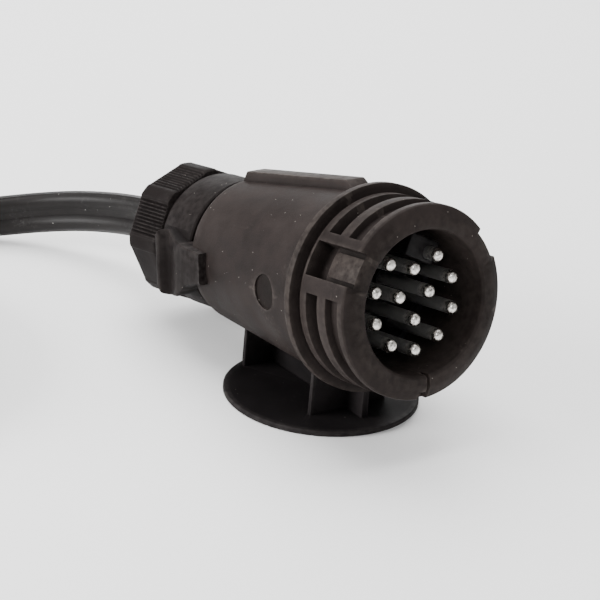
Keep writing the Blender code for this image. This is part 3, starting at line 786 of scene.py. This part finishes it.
def makeHousing():
    bm = turnOutline(housing["outline"], housing["steps"], spacing=housing["spacing"])
    for rear, front, floor in housing["grooves"]:
        for angleFrom, angleTo in housing["grooveSpans"]:
            skin = outerFaces(bm, rear, front, angleFrom, angleTo, housing["grooveSkin"])
            sinkFaces(bm, skin, floor)
    span = housing["slotSpan"]
    for angle in housing["slotAngles"]:
        skin = outerFaces(bm, housing["slotEnd"], housing["slotFront"], angle - span,
                          angle + span, housing["slotSkin"])
        floor = sinkFaces(bm, skin, housing["slotFloor"])
        pocket = [face for face in floor
                  if face.calc_center_median().x < housing["pocketStart"]]
        squareSlot(bm, angle)
        sinkFaces(bm, pocket, housing["pocketFloor"])
    cleanUp(bm)
    softenEdges(bm, housing["edge"])
    for angle in housing["slotAngles"]:
        bm = combine(bm, slotPad(angle), "UNION")
    half = housing["ribHalfWidth"]
    rib = skinLoops([((x, -half, low), (x, half, low), (x, half, top), (x, -half, top))
                     for x, low, top in housing["rib"]])
    softenEdges(rib, housing["ribEdge"])
    bm = combine(bm, rib, "UNION")
    for low, high in (housing["slit"], housing["underGroove"]):
        bm = combine(bm, block(low, high))
    x = housing["recessX"]
    recess = rod((x, -housing["recessStart"], 0), (x, -housing["recessFloor"], 0),
                 housing["recessRadius"])
    bm = combine(bm, recess)
    finishPiece("housingShell", bm, onAxis, housingPlastic, "body",
                ("housing",))


makeHousing()


# Disc, web and cross ribs under the housing
foot = {
    "radius": 26.65, "thickness": 1.5, "edge": 0.3,
    # the disc's top is sunk inside a low lip, which starts and ends this far from the edge
    "lip": (1.6, 1.9), "sunk": 0.15,
    "webHalf": 1.1, "web": (-22.8, 19.5),
    # x and half length of each cross rib
    "crossRibs": ((-22.3, 10.6), (11.5, 12.5)), "crossHalf": 0.7, "top": 26.5,
    "draft": 0.25, "wallEdge": 0.25, "stagger": 0.05,
    # x and radius of the housing, which takes the tops of the walls
    "clearance": ((-95, 0), (-95, 18.2), (-75.2, 20.2), (-22.4, 25.55), (-22.4, 27.3),
                  (5, 27.3), (5, 0))}


def makeFoot():
    radius, thick, edge = foot["radius"], foot["thickness"], foot["edge"]
    lipOuter, lipInner = foot["lip"]
    sunkTop = thick - foot["sunk"]
    outline = ((0, 0), (0, radius - edge), (edge, radius), (thick - edge, radius),
               (thick, radius - edge), (thick, radius - lipOuter), (sunkTop, radius - lipInner),
               (sunkTop, 0))
    bm = turnOutline(outline, 160, closed=False)
    bmesh.ops.rotate(bm, verts=bm.verts, matrix=Matrix.Rotation(-math.pi / 2, 3, "Y"))
    bmesh.ops.recalc_face_normals(bm, faces=bm.faces)
    floorLevel = thick / 2
    half, draft, stagger = foot["webHalf"], foot["draft"], foot["stagger"]
    # walls lean in a little towards the top, as they leave a mould
    walls = [((foot["web"][0], -half), (foot["web"][1], half))]
    walls += [((x - foot["crossHalf"], -width), (x + foot["crossHalf"], width))
              for x, width in foot["crossRibs"]]
    for order, (low, high) in enumerate(walls):
        wall = block((*low, floorLevel - order * stagger),
                     (*high, foot["top"] + order * stagger * 2))
        for vert in wall.verts:
            if vert.co.z > floorLevel + 1:
                vert.co.x -= math.copysign(draft, vert.co.x - (low[0] + high[0]) / 2)
                vert.co.y -= math.copysign(draft, vert.co.y)
        softenEdges(wall, foot["wallEdge"])
        bm = combine(bm, wall, "UNION")
    clearance = turnOutline(foot["clearance"], 120, closed=False)
    bmesh.ops.transform(clearance, matrix=onFoot.inverted() @ onAxis, verts=clearance.verts)
    bm = combine(bm, clearance)
    finishPiece("footMoulding", bm, onFoot, footPlastic, "body",
                ("foot",))


makeFoot()


# The insert's front with its key block and a low collar round each pin
insert = {
    "face": -24.2, "radius": 18.45, "rear": -31.9,
    # the raised rim on the face: its foot, and its top's inner and outer edge, in from the radius
    "rim": (2.2, 2.0, 0.5), "rimHeight": 0.5,
    # front, rear and floor radius of the seal's groove
    "sealGroove": (-27.2, -28.8, 17.3),
    "collarRadius": 2.9, "collarHeight": 1.1, "collarTaper": 0.3, "collarRoot": 1,
    "keyAngle": math.radians(64), "keyFront": -8.2, "keyRadii": (10.0, 16.3),
    "keyHalfWidth": 4.8, "keyRoot": 1.3, "keyEdge": 0.5,
    # rear, front and radius of the hole for each pin
    "pinHole": (-34, -5, 1.95)}


def pinPlaces():
    # nine on the outer circle with the top place empty, three inside, one between
    pitch = math.radians(36)
    top = math.pi / 2
    places = [(13.0, top - pitch * number) for number in range(1, 10)]
    places += [(5.0, top - 2 * pitch), (5.0, top + 2 * pitch), (5.0, -top), (8.2, top)]
    return [(radius * math.cos(angle), radius * math.sin(angle)) for radius, angle in places]


def makeInsert():
    radius, face, rear = insert["radius"], insert["face"], insert["rear"]
    rimFoot, rimInner, rimOuter = insert["rim"]
    rimTop = face + insert["rimHeight"]
    grooveFront, grooveRear, grooveFloor = insert["sealGroove"]
    bm = turnOutline((
        (face, 0), (face, radius - rimFoot), (rimTop, radius - rimInner),
        (rimTop, radius - rimOuter), (face, radius), (grooveFront, radius),
        (grooveFront, grooveFloor), (grooveRear, grooveFloor), (grooveRear, radius),
        (rear, radius), (rear, 0)), 96, closed=False)
    low, high = insert["keyRadii"]
    key = block((face - insert["keyRoot"], -insert["keyHalfWidth"], low),
                (insert["keyFront"], insert["keyHalfWidth"], high))
    softenEdges(key, insert["keyEdge"], segments=3)
    bmesh.ops.rotate(key, verts=key.verts, cent=(0, 0, 0),
                     matrix=Matrix.Rotation(insert["keyAngle"] - math.pi / 2, 3, "X"))
    bm = combine(bm, key, "UNION")
    for y, z in pinPlaces():
        collar = rod((face - insert["collarRoot"], y, z), (face + insert["collarHeight"], y, z),
                     insert["collarRadius"], steps=24,
                     endRadius=insert["collarRadius"] - insert["collarTaper"])
        bm = combine(bm, collar, "UNION")
    holeRear, holeFront, holeRadius = insert["pinHole"]
    for y, z in pinPlaces():
        bm = combine(bm, rod((holeRear, y, z), (holeFront, y, z), holeRadius, steps=24))
    finishPiece("insertFront", bm, onAxis, insertPlastic, "insert",
                ("pin_carrier",))


makeInsert()


# Each pin has a round nose, a stop flange and a solder cup, and is turned differently
pin = {
    "outline": ((-3.5, 0), (-3.53, 0.5), (-3.64, 0.98), (-3.86, 1.34), (-4.22, 1.6),
                (-4.7, 1.74), (-5.4, 1.78), (-7.0, 1.75), (-9.0, 1.75), (-12.0, 1.75),
                (-18.0, 1.75), (-32.5, 1.75), (-32.5, 2.6), (-33.5, 2.6), (-33.5, 1.75),
                (-40.1, 1.75), (-40.1, 2.1), (-47.0, 2.1), (-47.0, 1.35), (-42.5, 1.35),
                (-42.5, 0)),
    # where the painted shank shade starts and how far back it takes to deepen
    "shadeStart": -4.4, "shadeRun": 6.0, "edge": 0.08, "turn": 2.4}


def makePins():
    for number, (y, z) in enumerate(pinPlaces(), 1):
        bm = turnOutline(pin["outline"], 32, closed=False)
        softenEdges(bm, pin["edge"], sharpness=60, segments=1)
        # this attribute sets how much painted shade each point of the shank gets
        along = bm.verts.layers.float.new("alongPin")
        for vert in bm.verts:
            vert[along] = min(max((pin["shadeStart"] - vert.co.x) / pin["shadeRun"], 0), 1)
        bmesh.ops.rotate(bm, verts=bm.verts, cent=(0, 0, 0),
                         matrix=Matrix.Rotation(number * pin["turn"], 3, "X"))
        bmesh.ops.translate(bm, verts=bm.verts, vec=(0, y, z))
        finishPiece(f"contactPin{number:02d}", bm, onAxis, nickelPin, "insert",
                    (f"contact_pin_{number:02d}",))


makePins()


# The grip ring has a scooped thumb lug on each side
grip = {
    "front": -79.7, "rear": -95.4, "bore": 17.1, "outer": 19.0, "chamfer": 0.5, "edge": 0.12,
    # where the ring steps down at the rear, and its radius there
    "step": (-93.4, 17.9), "boreCut": (-99, -78.5),
    # x and radius of the neck's shoulder and the cone, on which the front of each lug lies
    "cone": ((-79.2, 0), (-79.2, 16.9), (-78.5, 18.4), (-77.6, 19.4), (-76.4, 20.1),
             (-75.2, 20.45), (-60, 22.0), (-60, 0)),
    # x, outer face, top and bottom, from the raised rear edge over the scoop to the front wall
    "lug": ((-92.2, 20.9, 3.0, -7.4), (-91.9, 22.0, 4.6, -9.0), (-91.2, 22.4, 5.7, -10.4),
            (-90.2, 22.4, 6.5, -11.4), (-89.6, 21.9, 6.8, -11.8), (-88.4, 20.7, 6.9, -12.0),
            (-87.3, 20.4, 6.8, -12.0), (-85.2, 20.9, 5.9, -11.8), (-82.6, 21.8, 5.1, -10.9),
            (-80.0, 22.3, 4.6, -9.2), (-77.0, 22.6, 4.2, -7.2), (-73.5, 22.9, 4.0, -5.9),
            (-70.5, 23.1, 3.9, -5.2), (-68.2, 23.3, 3.9, -4.9)),
    "lugRoll": 0.9, "lugEdge": 0.35, "lugSteps": 4, "lugInner": 12.5}


def lugSection(row, side):
    # inner foot, lower edge with its rolled lip, outer face, upper edge
    x, outer, top, bottom = row
    inner, roll, edge = grip["lugInner"], grip["lugRoll"], grip["lugEdge"]
    points = [(inner, bottom), (outer - roll, bottom), (outer - 0.25 * roll, bottom + 0.3 * roll),
              (outer, bottom + roll), (outer, (top + bottom) / 2), (outer, top - edge),
              (outer - edge, top), (inner, top)]
    return [Vector((x, side * y, z)) for y, z in points]


def makeGrip():
    front, rear, bore, outer = grip["front"], grip["rear"], grip["bore"], grip["outer"]
    stepX, stepRadius = grip["step"]
    bm = turnOutline((
        (front, bore), (front, outer - grip["chamfer"]), (front - grip["chamfer"], outer),
        (stepX, outer), (stepX, stepRadius), (rear, stepRadius), (rear, bore)), 180)
    softenEdges(bm, grip["edge"])
    rows = smoothPath([Vector(row) for row in grip["lug"]], grip["lugSteps"])
    for side in (-1, 1):
        lug = skinLoops([lugSection(row, side) for row in rows])
        bm = combine(bm, lug, "UNION")
    cutRear, cutFront = grip["boreCut"]
    bm = combine(bm, rod((cutRear, 0, 0), (cutFront, 0, 0), bore, steps=180))
    bm = combine(bm, turnOutline(grip["cone"], 180, closed=False))
    finishPiece("gripRing", bm, onAxis, glandPlastic, "body",
                ("grip_ring",), smooth=38)


makeGrip()


# The gland nut has eight flats, some of them ribbed
nut = {
    "steps": 720, "flat": 18.8, "corner": 19.9, "ribbedFlats": (112.5, 157.5, 292.5, 337.5),
    "ribSpan": 15.6, "ribs": 10, "ribDepth": 0.55, "ribFullness": 0.8,
    # how near the corner band the flats start to turn into it, and how fast
    "blend": 0.25, "blendRate": 2,
    # x, how far the outside steps in, and how deep the ribs are there
    "outside": ((-96.2, 0.6, 0.6), (-96.5, 0.25, 0.9), (-96.9, 0.0, 1.0), (-100.0, 0.0, 1.0),
                (-104.0, 0.0, 1.0), (-108.4, 0.0, 1.0), (-109.3, 0.0, 0.6), (-109.8, 0.08, 0.0),
                (-110.4, 0.4, 0.0), (-111.6, 2.0, 0.0), (-112.8, 3.7, 0.0), (-113.6, 5.2, 0.0),
                (-114.0, 6.6, 0.0)),
    # x and radius of the inside, from the rear
    "inside": ((-114.0, 7.7), (-113.7, 7.4), (-111.8, 7.4), (-111.8, 11.6), (-110.0, 12.6),
               (-109.0, 15.5), (-97.6, 15.5), (-97.4, 17.2), (-96.2, 17.3))}


def nutRadius(degrees):
    off = abs(degrees % 45 - 22.5)
    flat = nut["flat"] / math.cos(math.radians(off))
    # the corner band meets the flats in a soft line
    gap = nut["corner"] - flat
    return flat if gap > nut["blend"] else nut["corner"] - max(gap, 0) ** 2 * nut["blendRate"]


def ribCut(degrees):
    for flat in nut["ribbedFlats"]:
        offset = (degrees - flat + 180) % 360 - 180
        if abs(offset) < nut["ribSpan"]:
            phase = (offset + nut["ribSpan"]) / (2 * nut["ribSpan"]) * nut["ribs"]
            wave = 0.5 - 0.5 * math.cos(phase * math.tau)
            return nut["ribDepth"] * wave ** nut["ribFullness"]
    return 0.0


def makeNut():
    bm = bmesh.new()
    start = bmesh.ops.create_circle(bm, cap_ends=False, segments=nut["steps"], radius=1)
    bmesh.ops.rotate(bm, verts=bm.verts, matrix=Matrix.Rotation(math.pi / 2, 3, "Y"))
    ring = start["verts"]
    shape = [(Vector((0, vert.co.y, vert.co.z)), polarOf(vert.co)[1]) for vert in ring]
    full = [nutRadius(angle) for _, angle in shape]
    ribs = [ribCut(angle) for _, angle in shape]
    stations = [(x, [size - inset - depth * rib for size, rib in zip(full, ribs)])
                for x, inset, depth in nut["outside"]]
    stations += [(x, [radius] * len(shape)) for x, radius in nut["inside"]]
    firstEdges = list(bm.edges)
    edges = firstEdges
    verts = list(ring)
    for index, (x, radii) in enumerate(stations):
        if index:
            grown = bmesh.ops.extrude_edge_only(bm, edges=edges)["geom"]
            edges = [item for item in grown if isinstance(item, bmesh.types.BMEdge)
                     and len(item.link_faces) == 1]
            fresh = {item for item in grown if isinstance(item, bmesh.types.BMVert)}
            verts = [next(edge.other_vert(vert) for edge in vert.link_edges
                          if edge.other_vert(vert) in fresh) for vert in verts]
        for vert, (direction, _), radius in zip(verts, shape, radii):
            vert.co = direction * radius + Vector((x, 0, 0))
    bmesh.ops.bridge_loops(bm, edges=firstEdges + edges)
    cleanUp(bm)
    finishPiece("glandNut", bm, onAxis, glandPlastic, "nut",
                ("gland_nut",), smooth=40)


makeNut()


# The inner pieces keep their CAD shape and get a finish of their own
innerFinishes = {
    "terminal_carrier": insertPlastic, "insert_seal": sealRubber, "insert_clip": springSteel,
    "cable_seal": sealRubber, "clamp_ring": glandPlastic, "slip_washer": springSteel}
slotOf = {part["node"]: part["material_slot"] for part in frame["record"]["subparts"]}
for node in frame["nodes"]:
    if node.startswith("lead_"):
        innerFinishes[node] = leadPlastics[slotOf[node]]
for node, finish in innerFinishes.items():
    for slot in frame["nodes"][node].material_slots:
        slot.material = finish
print("inner pieces finished")
